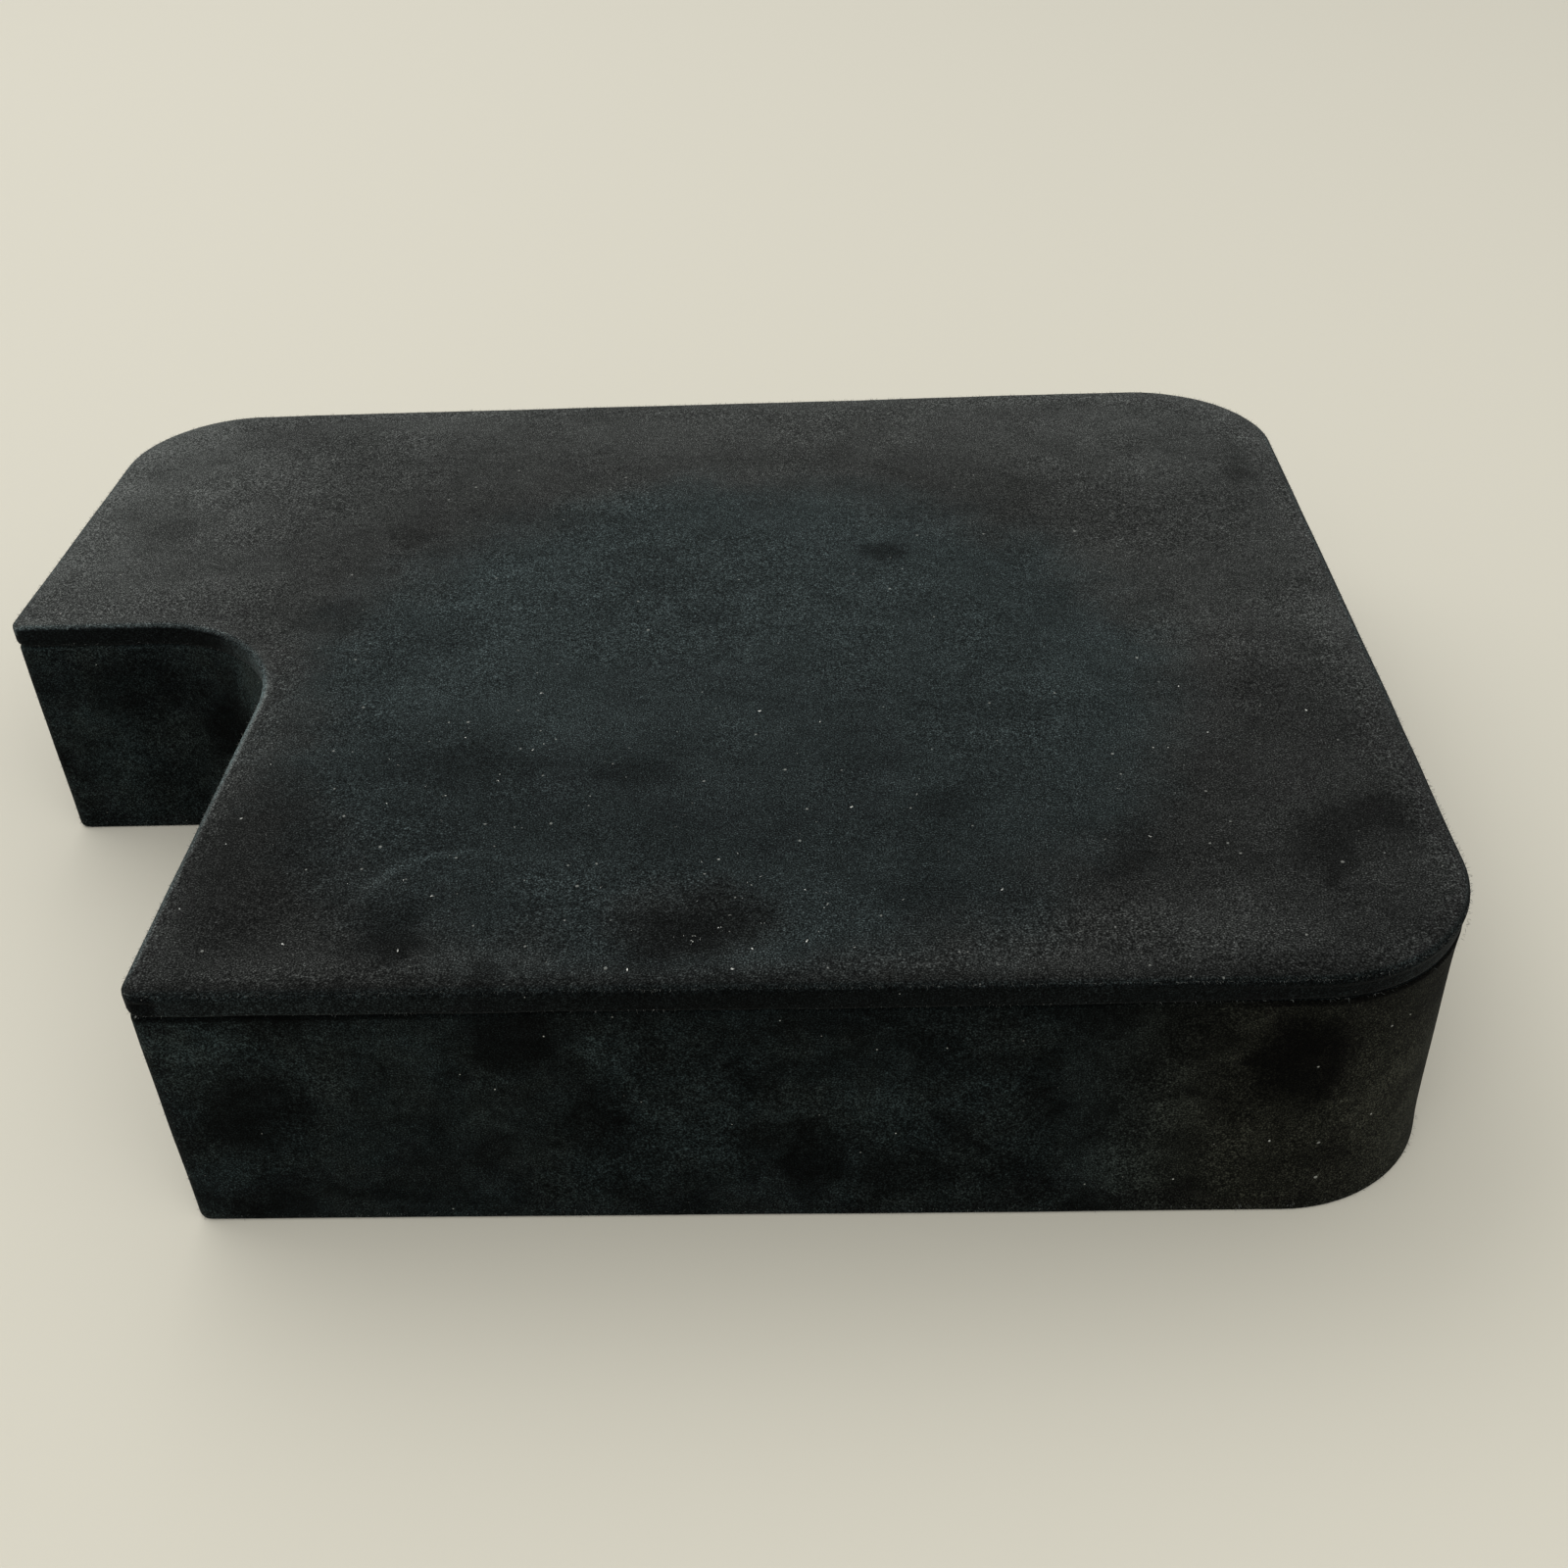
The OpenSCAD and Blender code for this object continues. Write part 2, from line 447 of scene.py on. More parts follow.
def settle_band(place, normal):
    """The band's cloth: slow swells on the walls, and an upper fold pressed down at its rim."""
    upright = 1 - abs(normal.z)
    held = min(place.z - band_low.z, band_high.z - place.z) / (4 * MM)
    swell = 0.16 * wave(place, 28 * MM, 3) + 0.06 * wave(place, 8 * MM, 4)
    change = normal * MM * (swell - 0.45 * near_corner(place)) * upright * min(1, max(held, 0.5))
    if place.z > band_high.z - 1 * MM:
        inside = max(band_plan.depth(place.x, place.y), 0)
        change.z -= (0.14 + 0.12 * wave(place, 11 * MM, 5)) * MM * math.exp(-inside / (1.5 * MM))
    return change


displace(side_band, settle_band)
apply_modifier(side_band, "SOLIDIFY", thickness=CLOTH, offset=-1, use_even_offset=False)
print(f"side band: {facets(side_band)} triangles")

# %% [markdown]
# ## The base sheet
#
# The underside is closed by a lining, let in between the folds. It is flat stock, so it is the
# same plan once more, extruded, with a small bevel for its cut edge.

# %% Model the base sheet
base_sheet = cut_plan("lining_base_sheet", sheet_plan, sheet_low.z, 1 * MM)
edit(base_sheet)
bpy.ops.mesh.select_all(action="SELECT")
bpy.ops.mesh.extrude_region_move(
    TRANSFORM_OT_translate={"value": (0, 0, sheet_high.z - sheet_low.z)})
bpy.ops.mesh.select_all(action="SELECT")
bpy.ops.mesh.normals_make_consistent(inside=False)
pick(base_sheet, "EDGE",
     lambda edge: all(abs(v.co.z - sheet_low.z) < TOUCH for v in edge.verts))
bpy.ops.mesh.bevel(offset=0.2 * MM, segments=2, affect="EDGES", clamp_overlap=False)
close()
print(f"base sheet: {facets(base_sheet)} triangles")

# %% [markdown]
# ## The foam
#
# The foam is one block, sawn along the plan. Its upper rim is pressed down by the fold of suede,
# so its middle stands up inside the fold. It is bridged from rims as the shells are, but it keeps a
# face at both ends, which closes it. The bevels are the soft edges that pressed foam takes.

# %% Model the foam
foam_plan = Plan("foam_core")
_, foam_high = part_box("foam_core")
rim_low = band_low.z + BAND_ROUND
rim_high = band_high.z - BAND_ROUND
middle = panel_plan.inset(MARGIN)

foam_block = bridged("foam_block", [
    (foam_plan, rim_low, 1.2 * MM), (foam_plan, rim_high, 1.2 * MM),
    (middle, rim_high, 0.4 * MM), (middle, foam_high.z, 0.4 * MM)], caps=(0, 3))
for height in (rim_low, foam_high.z):
    round_rims(foam_block, height, 0.4 * MM, 2)
grid(foam_block, foam_plan, rim_low + MM, rim_high - MM, 6 * MM)
close()
displace(foam_block, lambda place, normal: normal * 0.05 * MM * (wave(place, 12 * MM, 8) - 1))
print(f"foam: {facets(foam_block)} triangles, rim {rim_low:.4f} to {rim_high:.4f} m")

SHARP = math.radians(50)  # two faces that meet at a larger angle keep a hard edge
for piece in (top_cover, side_band, base_sheet, foam_block):
    select_all([piece])
    bpy.ops.object.shade_smooth_by_angle(angle=SHARP)

# %% [markdown]
# ## Stray nap
#
# Against a bright background the suede's edges look furry: fibres stand out from every rim by a
# fraction of a millimetre. No bump can change an outline, so these fibres are real. One is
# modelled, as a narrow blade that bends and tapers, and copied along the rims, each copy turned
# and sized at random. The random numbers start from a fixed seed, so every run is the same.

# %% Model one fibre and copy it along the rims
def model_fibre():
    fibre = start_plane("nap_fibre", (-0.02 * MM, 0), (0.02 * MM, 0.5 * MM), 0)
    edit(fibre)
    cut(fibre, 1, [0.25 * MM])
    pick(fibre, "VERT", lambda v: v.co.y > 0.4 * MM)
    bpy.ops.transform.resize(value=(0.2, 1, 1))
    bpy.ops.transform.translate(value=(0.02 * MM, 0, 0.16 * MM))
    close()
    return fibre


def along(plan, tip, pitch):
    """Points and outward directions along a plan, about a pitch apart."""
    ring = cut_plan("ring", plan, 0, tip)
    corners = [ring.data.vertices[i].co.copy() for i in ring.data.polygons[0].vertices]
    facing = ring.data.polygons[0].normal.z
    bpy.data.objects.remove(ring)
    for start, end in zip(corners, corners[1:] + corners[:1]):
        side = (end - start).cross(Vector((0, 0, facing))).normalized()
        for _ in range(dice.poisson((end - start).length / pitch)):
            yield start.lerp(end, dice.random()), side


def scatter(name, model, stands, least, most, sway):
    """Copies a modelled piece to each stand, a point and a direction, as one piece. Each copy
    sways from its direction, spins about it and has a size between the least and the most."""
    grown = bmesh.new()
    for point, direction in stands:
        turn = (direction + Vector(dice.normal(0, sway, 3))).to_track_quat("Y", "Z")
        turn = turn.to_matrix().to_4x4()
        spin = Matrix.Rotation(dice.normal(0, 5 * sway), 4, "Y")
        place = Matrix.Translation(point - direction * 0.1 * MM)
        copied = model.data.copy()
        copied.transform(place @ turn @ spin @ Matrix.Scale(dice.uniform(least, most), 4))
        grown.from_mesh(copied)
        bpy.data.meshes.remove(copied)
    piece = model.copy()
    piece.data = model.data.copy()
    piece.name = name
    bpy.context.collection.objects.link(piece)
    grown.to_mesh(piece.data)
    grown.free()
    return piece


dice = np.random.default_rng(7)
fibre = model_fibre()
UP = Vector((0, 0, 1))
stands = [(point + side * -0.3 * MM + UP * (panel_high.z - 0.5 * MM), side + UP * 0.6)
          for point, side in along(panel_plan, PANEL_TIP, 0.22 * MM)]
stands += [(point + UP * (panel_low.z + 0.5 * MM), side)
           for point, side in along(panel_plan, PANEL_TIP, 0.7 * MM)]
stands += [(point + UP * dice.uniform(0.6 * MM, 1.5 * MM), side)
           for point, side in along(band_plan, BAND_TIP, 0.35 * MM)]
for corner in ((band_plan.notch_x, band_plan.y0), (band_plan.x0, band_plan.notch_y)):
    stands += [(point + UP * dice.uniform(band_low.z, band_high.z), side)
               for _ in range(70) for point, side in along(band_plan, BAND_TIP, 1 * MM)
               if math.hypot(point.x - corner[0], point.y - corner[1]) < 1.6 * MM]
nap = scatter("stray_nap", fibre, stands, 0.6, 1.1, 0.5)
print(f"stray nap: {len(stands)} fibres, {facets(nap)} triangles")

# %% [markdown]
# ## Lint
#
# The larger scraps of lint lie on the nap and can be picked off, so they are pieces too. A scrap
# is a short flat curl. It is modelled like the fibre but wider, and the copies are thrown over the
# top, most of them near the front, and thickest where the nap is pressed down.

# %% Model one scrap of lint and throw copies over the block
def model_scrap():
    scrap = start_plane("lint_scrap", (-0.1 * MM, -0.22 * MM), (0.1 * MM, 0.22 * MM), 0)
    edit(scrap)
    cut(scrap, 1, [-0.1 * MM, 0.1 * MM])
    pick(scrap, "VERT", lambda v: abs(v.co.y) > 0.2 * MM)
    bpy.ops.transform.resize(value=(0.45, 1, 1))
    bpy.ops.transform.translate(value=(0, 0, 0.06 * MM))
    pick(scrap, "VERT", lambda v: v.co.y > 0)
    bpy.ops.transform.translate(value=(0.05 * MM, 0, 0.02 * MM))
    close()
    return scrap


def thrown(count, middle, spread):
    """Places on the top around a middle, each with a nearly level direction."""
    while count:
        x, y = dice.normal(middle, spread)
        if panel_plan.depth(x, y) > 1.5 * MM:
            count -= 1
            point = Vector((x, y, panel_high.z - 0.02 * MM))
            yield point, Vector((*dice.normal(0, 1, 2), 0)).normalized()


THROWS = (  # how many, their middle and their spread in mm
    (60, (8, -66), (7, 5)), (60, (10, -50), (50, 18)), (50, (-30, -50), (14, 14)),
    (25, (10, 20), (60, 30)),
)
scrap = model_scrap()
lint_stands = [stand for count, middle, spread in THROWS
               for stand in thrown(count, [c * MM for c in middle], [c * MM for c in spread])]
lint_pieces = scatter("lint", scrap, lint_stands, 0.3, 1.1, 0.12)
print(f"lint: {len(lint_stands)} scraps, {facets(lint_pieces)} triangles")
for model in (fibre, scrap):
    bpy.data.objects.remove(model)

# %% [markdown]
# ## Shader arithmetic
#
# A material is a small calculation. Written as nodes it is hard to read, so one class wraps a
# socket: adding or multiplying two wires adds the Math node for us.

# %% The Wire class
class Wire:
    """An output socket of a material's node tree."""

    def __init__(self, tree, socket):
        self.tree = tree
        self.socket = socket

    def node(self, kind, inputs=(), out=0, **settings):
        """Adds a node, sets it up, feeds its sockets and returns one of its outputs."""
        made = self.tree.nodes.new(kind)
        for key, value in settings.items():
            setattr(made, key, value)
        for key, value in dict(inputs).items():
            if isinstance(value, Wire):
                self.tree.links.new(value.socket, made.inputs[key])
            else:
                made.inputs[key].default_value = value
        return Wire(self.tree, made.outputs[out])

    def maths(self, operation, *others):
        wires = dict(enumerate((self, *others)))
        return self.node("ShaderNodeMath", wires, operation=operation)

    def __add__(self, other):
        return self.maths("ADD", other)

    def __sub__(self, other):
        return self.maths("SUBTRACT", other)

    def __mul__(self, other):
        return self.maths("MULTIPLY", other)

    def __neg__(self):
        return self * -1

    def __rsub__(self, other):
        return -self + other

    __radd__ = __add__
    __rmul__ = __mul__

    def beside(self, name):
        """Another output of the node that this wire leaves."""
        return Wire(self.tree, self.socket.node.outputs[name])

    def constant(self, number):
        made = self.node("ShaderNodeValue")
        made.socket.default_value = number
        return made

    def parts(self):
        """The x, y and z of a vector."""
        split = self.node("ShaderNodeSeparateXYZ", {"Vector": self})
        return split, split.beside("Y"), split.beside("Z")

    def mix(self, share, first, second):
        """The first colour where share is 0, the second where it is 1."""
        return self.node("ShaderNodeMix", {"Factor": share, 6: first, 7: second}, out=2,
                         data_type="RGBA")

    def ramp(self, low, high):
        """0 below low, 1 above high, and a smooth step between them."""
        return self.node("ShaderNodeMapRange", {"Value": self, "From Min": low, "From Max": high},
                         interpolation_type="SMOOTHSTEP", clamp=True)


def new_material(name):
    """An empty material: a wire at its coordinates, and its shader node."""
    material = bpy.data.materials.new(name)
    material.use_nodes = True
    tree = material.node_tree
    shader = next(node for node in tree.nodes if node.type == "BSDF_PRINCIPLED")
    coordinates = tree.nodes.new("ShaderNodeTexCoord")
    return material, Wire(tree, coordinates.outputs["Object"]), shader


def colour(hex_code):
    """An sRGB hex colour as the linear RGBA that shaders take."""
    parts = [int(hex_code[i:i + 2], 16) / 255 for i in (0, 2, 4)]
    return (*[c / 12.92 if c <= 0.04045 else ((c + 0.055) / 1.055) ** 2.4 for c in parts], 1)


# %% [markdown]
# ## Suede
#
# Suede is a felt of very fine fibres. What the eye sees is grain of about 0.8 mm, where tufts of
# nap lean different ways, the finer tips of the tufts, and soft patches of many millimetres, where
# a hand or another surface has brushed the nap over. Light is lost between the tufts, so the grain
# drives the colour and the bump together. It acts as a power of two, so that it makes dark cloth
# and pale cloth vary by the same share. At a grazing angle the fibres' tips catch light, which is
# sheen.
#
# Black suede also shows every speck of lint. The specks are the cells of a Voronoi texture: each
# cell has one point, a random size, and a random chance of being bare.

# %% Suede material
GRAIN, TIPS = 0.8 * MM, 0.19 * MM  # sizes of the tufts and of their tips
TIPS_DEPTH = 7  # how strongly the tips vary, in powers of two from end to end
LINT_CELL = 2.1 * MM  # one cell holds at most one speck
LINT, BLACK = colour("c9cbc4"), colour("000000")


def oval(place, centre, size, turn=0):
    """Distance from a mark's centre, as a share of its half sizes: 1 on its outline. The centre
    and half sizes are in mm. A mark with two sizes has no limit in height."""
    centre, size = [*centre, 0][:3], [*size, 1000][:3]
    turned = place.node("ShaderNodeMapping", {
        "Vector": place, "Location": [c * MM for c in centre],
        "Rotation": (0, 0, math.radians(turn)), "Scale": [c * MM for c in size]},
        vector_type="TEXTURE")
    return turned.node("ShaderNodeVectorMath", {0: turned}, out=1, operation="LENGTH")


def mark(place, centre, size, turn=0, fades=(0.4, 1.2)):
    """1 on an oval mark and 0 off it. It fades between two shares of its half sizes."""
    return 1 - oval(place, centre, size, turn).ramp(*fades)


def suede(name, tints, grain_depth, tone, hue, sheen, lint):
    """Napped cloth. From the material's coordinates `tone` returns its brightness, as a share of
    the tint, `hue` which of the two tints it has, and `lint` the chance of a speck."""
    material, place, shader = new_material(name)
    grain = place.node("ShaderNodeTexNoise", {
        "Vector": place, "Scale": 1 / GRAIN, "Detail": 2.0, "Roughness": 1.0,
        "Lacunarity": 2.3})
    tips = place.node("ShaderNodeTexNoise", {
        "Vector": place, "Scale": 1 / TIPS, "Detail": 0.0})
    power = (grain - 0.5) * grain_depth + (tips - 0.5) * TIPS_DEPTH
    shade = tone(place) * place.constant(2).maths("POWER", power)
    tint = place.mix(hue(place), *tints)
    base = place.mix(shade, BLACK, tint)
    if lint:
        cells = place.node("ShaderNodeTexVoronoi", {"Vector": place, "Scale": 1 / LINT_CELL})
        chances = cells.beside("Color").node("ShaderNodeSeparateColor", {
            "Color": cells.beside("Color")})
        size, pale = chances.beside("Green"), chances.beside("Blue")
        reach = (0.03 + size * size * 0.09) * (0.3 + grain * 1.4)
        bare = (chances - lint(place)).ramp(-0.02, 0.02)
        speck = (reach - cells).ramp(0, 0.03) * (1 - bare)
        base = place.mix(speck * (0.14 + pale * pale * 0.62), base, LINT)
    place.tree.links.new(base.socket, shader.inputs["Base Color"])
    bump = place.node("ShaderNodeBump", {
        "Height": grain + tips * 0.25, "Distance": 0.12 * MM, "Strength": 1.0})
    place.tree.links.new(bump.socket, shader.inputs["Normal"])
    shader.inputs["Roughness"].default_value = 0.95
    shader.inputs["Specular IOR Level"].default_value = 0.04
    shader.inputs["Sheen Weight"].default_value = sheen
    shader.inputs["Sheen Roughness"].default_value = 0.35
    shader.inputs["Sheen Tint"].default_value = colour("e4e8e6")
    return material


def ragged(place, size, reach):
    """Coordinates shaken by noise, which gives a mark a ragged outline."""
    shake = place.node("ShaderNodeTexNoise", {
        "Vector": place, "Scale": 1 / size, "Detail": 4.0, "Roughness": 0.65}, out=1)
    centred = place.node("ShaderNodeVectorMath", {0: shake, 1: (0.5, 0.5, 0.5)},
                         operation="SUBTRACT")
    return place.node("ShaderNodeVectorMath", {0: centred, 1: (reach, reach, reach), 2: place},
                      operation="MULTIPLY_ADD")


def patches(place, size, stretch=(1, 1, 1)):
    """Soft patches of brushed nap, from 0 to 1."""
    stretched = place.node("ShaderNodeMapping", {"Vector": place, "Scale": stretch})
    return place.node("ShaderNodeTexNoise", {
        "Vector": stretched, "Scale": 1 / size, "Detail": 5.0, "Roughness": 0.68,
        "Distortion": 0.4}).ramp(0.3, 0.7)


# %% [markdown]
# ### Marks on the top
#
# A riser is handled by its top, near the front. There the nap is pressed down in dark smudges, a
# jar or a stand has left part of a ring, and the lint has gathered. These are the block's own
# marks, so each is put where it is, as an oval with a ragged outline.

# %% Marks on the top
DARK_MARKS = (  # x, y, half sizes and turn of an oval in mm and degrees, then its strength
    (-26, -68, 6, 6, 10, 0.5), (5, -70, 8, 6, 0, 0.45), (11, -67, 8, 7, 35, 0.5),
    (90, -50, 10, 5, 15, 0.55), (84, -57, 4, 6, 0, 0.45), (0, -38, 6, 5, 0, 0.35),
    (33, 20, 4, 3.5, -20, 0.5), (-43, 28, 4, 3, 0, 0.35), (-50, 4, 7, 7, 0, 0.35),
    (-84, 32, 6, 7, 0, 0.25), (92, 45, 3, 5, 0, 0.35), (36, -64, 7, 5, 0, 0.3),
    (61, -56, 4, 7, -20, 0.35), (-46, -55, 10, 24, 0, 0.41), (20, -50, 26, 7, 8, 0.2),
    (40, -45, 6, 4, 20, 0.3), (87, -26, 12, 14, 15, 0.26), (-25, -35, 18, 6, 0, 0.28),
    (6, 2, 5, 4, 0, 0.2), (-30, -2, 8, 6, 0, 0.2), (-14, -76, 3, 3, 0, 0.35),
    (-62, 8, 18, 9, 0, 0.12), (76, -76, 14, 2.5, 0, 0.25),
)
LIGHT_MARKS = (
    (94, -62, 7, 6, 20, 0.3), (-8, -58, 9, 5, 30, 0.2), (48, -71, 38, 6, 0, 0.25),
    (16, -74, 6, 2.5, 0, 0.35), (-14, -74, 12, 2.5, 0, 0.35), (-38, -74, 12, 3, 0, 0.3),
    (-12, -31, 6, 5, 30, 0.25), (75, -68, 16, 6, 0, 0.2), (24, -66, 7, 5, 30, 0.3),
    (-33, -20, 5, 7, 0, 0.2), (48, -56, 12, 4, 0, 0.15), (-30, 12, 14, 9, 0, 0.15),
    (20, 30, 16, 8, 0, 0.12), (-50, 74, 36, 7, 0, 0.1),
)


def marked(place, tone):
    """The top with its marks: dark ones, pale ones, and the part of a ring that shows."""
    ragged_place = ragged(place, 6 * MM, 9 * MM)
    for marks, sign in ((DARK_MARKS, -1), (LIGHT_MARKS, 1)):
        for x, y, across, along, turn, strength in marks:
            spot = mark(ragged_place, (x, y), (across, along), turn)
            tone = tone * (1 + spot * (sign * strength))
    ring = oval(place, (-20, -66), (12, 12))
    line = ring.ramp(0.86, 0.97) * (1 - ring.ramp(1.0, 1.1))
    return tone * (1 + line * mark(place, (-24, -57), (12, 7), 25, fades=(0.3, 1.1)) * 0.8)


print(f"top: {len(DARK_MARKS)} dark and {len(LIGHT_MARKS)} pale marks")

# %% [markdown]
# ### Brightness over the top
#
# The top is painted darker at the front and paler toward the back and the arm: this is painted
# sheen, which grows where the top is seen at a grazing angle, and painted window light. Its rim
# has a painted highlight, with a pale line beside the notch, and painted shade where it rounds
# over at the front and in the notch's inner corner. The panel's side hangs in its own painted
# shade, darker still in the tucked fold. The material tells the top from the side by the depth
# that was stored on each vertex, because the rim between them is too round to tell by height.

# %% Brightness of the top
# The walls' lower level, like their darker tints, is painted shade.
TOP_LEVEL, SIDE_LEVEL = 0.56, 0.39  # overall brightness of the top's and the walls' patterns


def panel_depth(place):
    """The depth inside the plan that was stored on the top cover's vertices."""
    return place.node("ShaderNodeAttribute", out=2, attribute_name="depth")


def brushed_with_painted_sheen(place, x, y):
    """Brushed patches and painted sheen: darker at the front, paler toward the other sides."""
    tone = 0.155 + patches(place, 20 * MM, (0.6, 1, 1)) * 0.09 + patches(place, 5 * MM) * 0.06
    # Painted sheen and window light: paler toward the back, the arm and the right.
    painted_back_sheen = y.ramp(30 * MM, 80 * MM) * 0.55
    painted_arm_light = (-x).ramp(35 * MM, 100 * MM) * (0.95 + y.ramp(0, 50 * MM) * 0.35)
    painted_right_light = x.ramp(50 * MM, 90 * MM) * y.ramp(-60 * MM, 0) * 0.27
    return tone * (0.6 + y.ramp(-60 * MM, 10 * MM) * 0.31 + painted_back_sheen.maths("MAXIMUM", painted_arm_light) + painted_right_light)


def painted_rim_highlight(place, depth, x, y, z):
    """Painted highlight: a pale line on the rim by the notch, and a pale patch in its corner."""
    line = 1 - (x - panel_plan.notch_x).maths("ABSOLUTE").ramp(1 * MM, 1.8 * MM)
    line = line * (1 - y.ramp(-18 * MM, -10 * MM)) * y.ramp(-77 * MM, -73 * MM)
    line = line * (1 - depth.ramp(0.6 * MM, 1.4 * MM))
    line = line * z.ramp(panel_high.z - 1.3 * MM, panel_high.z - 0.8 * MM)
    patch = mark(place, (-57, -13), (5, 9), 15, fades=(0.5, 1.2))
    patch = patch * (1 - depth.ramp(0.6 * MM, 3 * MM))
    return line * (0.3 + y.ramp(-50 * MM, -25 * MM) * 0.6) + patch * 0.14


def side_share(x, y, corner):
    """The panel's side in painted shade, as a share of the top's brightness beside it."""
    front = 1 - y.ramp(-70 * MM, -60 * MM)
    fold = (1 - x.ramp(FOLD_X + 3.8 * MM, FOLD_X + 4.6 * MM)) * front
    left = (1 - x.ramp(-35 * MM, 0)) * front
    # Painted shade, deepest in the tucked fold, and painted light by the notch's corner. The side
    # is also lighter on the left of the front and darker toward the back.
    return 0.38 - fold * 0.7 + corner * 0.5 + left * 0.6 - y.ramp(-20 * MM, 0) * 0.3


def top_tone(place):
    """Patches and marks, painted rim light and shade, and the panel's side in painted shade."""
    x, y, z = place.parts()
    depth = panel_depth(place)
    fuzz = place.node("ShaderNodeTexNoise", {
        "Vector": place, "Scale": 1 / (0.9 * MM), "Detail": 2.0}) - 0.5
    corner = mark(place, (-58, -8), (9, 16), fades=(0.6, 1.2))
    rim = depth.ramp(0.4 * MM, 0.8 * MM) * (1 - depth.ramp(2 * MM, 7 * MM))
    shoulder = (y + fuzz * 4 * MM).ramp(panel_plan.y0 + 0.6 * MM, panel_plan.y0 + 3.4 * MM)
    tone = marked(place, brushed_with_painted_sheen(place, x, y))
    # Painted light on the rim: a highlight a few mm in from the outline, painted shade there in the
    # notch's inner corner, and painted shade along the front edge where it rounds over.
    tone = tone * (1 + rim * (0.15 - corner * 0.3)) * (0.5 + shoulder * 0.5)
    # Painted shade: the panel's side is a darker copy of the top, blended in by depth.
    side = side_share(x, y, corner)
    top = (depth + fuzz * 0.6 * MM).ramp(0.1 * MM, 0.6 * MM)
    return (tone * (side + (1 - side) * top) + painted_rim_highlight(place, depth, x, y, z)) * TOP_LEVEL


# %% [markdown]
# ### Hue and lint of the top
#
# The top is blue-black in the middle and down the panel's side. Farther out it turns neutral,
# which is painted sheen, and it is neutral too along the front rim and where the nap is pressed.
# Lint gathers in front, where the nap is used most.

# %% Hue and lint of the top
def top_hue(place):
    """0 where the top is blue-black, 1 where it is neutral."""
    _, y, _ = place.parts()
    # Painted sheen: away from the middle the top turns neutral.
    painted_sheen_hue = oval(ragged(place, 14 * MM, 26 * MM), (10, -18), (70, 72)).ramp(0.7, 1.0)
    smudge = mark(ragged(place, 6 * MM, 9 * MM), (8, -68), (12, 9)) * 0.6
    rim = (1 - y.ramp(panel_plan.y0 + 1 * MM, panel_plan.y0 + 7 * MM)) * 0.7
    neutral = painted_sheen_hue.maths("MAXIMUM", smudge).maths("MAXIMUM", rim)
    return neutral * panel_depth(place).ramp(0.2 * MM, 1.2 * MM)


def cloudy(place):
    """The hue of cloth that has no marks of its own."""
    return patches(place, 25 * MM)


def top_lint(place):
    """Lint is sparse at the back, common near the front, and thick in one smudge."""
    _, y, _ = place.parts()
    thick = mark(place, (7, -66), (13, 9), fades=(0.4, 1.4))
    return 0.3 + (1 - y.ramp(-75 * MM, 0)) * 0.5 + thick * 0.5


# %% [markdown]
# ### The walls
#
# The walls are brushed every way when the block is picked up, so their patches are smaller and
# much stronger than the top's. The strongest are single marks again, put where they are. Toward
# the near corner the dye has faded to olive. The walls' suede is painted much darker than the
# top's, as painted shade, because the walls face away from the light above. The top of the front
# wall is darker still, as painted shade under the panel. Under the seam, the shoulder of the upper
# fold is a fine line, with a painted highlight where it faces up and painted shade where it is lost
# in the panel's shade.

# %% Side suede
WALL_MARKS = (  # x, y, z and half sizes of an oval in mm, then its strength
    (-43, -79, 19, 9, 5, 6, -0.5), (-12, -79, 31, 6, 5, 6, -0.6), (-3, -79, 17, 5, 5, 7, -0.5),
    (4, -79, 25, 3, 5, 7, -0.35), (16, -79, 24, 4, 5, 3, -0.5), (25, -79, 26, 8, 5, 2.5, -0.45),
    (22, -79, 9, 4, 5, 6, -0.6), (33, -79, 7, 7, 5, 4, -0.5), (38, -79, 27, 4, 5, 5, -0.4),
    (49, -79, 20, 3, 5, 9, -0.4), (66, -79, 30, 6, 5, 5, -0.55), (78, -77, 25, 7, 6, 9, -0.85),
    (66, -79, 8, 4, 5, 6, -0.35), (45, -79, 5, 6, 5, 5, -0.35), (-44, -79, 5, 5, 5, 6, -0.35),
    (-1, -79, 30, 3, 5, 5, 0.35), (8, -79, 19, 6, 5, 6, 0.25), (31, -79, 17, 8, 5, 5, 0.35),
    (-15, -79, 18, 5, 5, 9, 0.25), (53, -79, 22, 3, 5, 6, 0.3), (65, -79, 20, 5, 5, 5, 0.65),
    (60, -79, 8, 9, 5, 5, 0.75), (93, -70, 14, 10, 13, 15, 0.9), (-52, -79, 27, 5, 5, 8, 0.3),
    (-50, -79, 9, 4, 5, 7, 0.35), (-33, -79, 25, 5, 5, 6, 0.2),
    (-83, 3, 27, 9, 5, 7, -0.5), (-68, 2, 18, 6, 5, 8, -0.6), (-92, 3, 14, 8, 5, 10, 0.4),
    (-72, 3, 8, 6, 5, 6, 0.4), (-61, -6, 29, 8, 10, 8, 1.6), (-60, -12, 14, 8, 9, 8, 0.5),
    (-50, -79, 32, 11, 5, 5, 1.0),
)


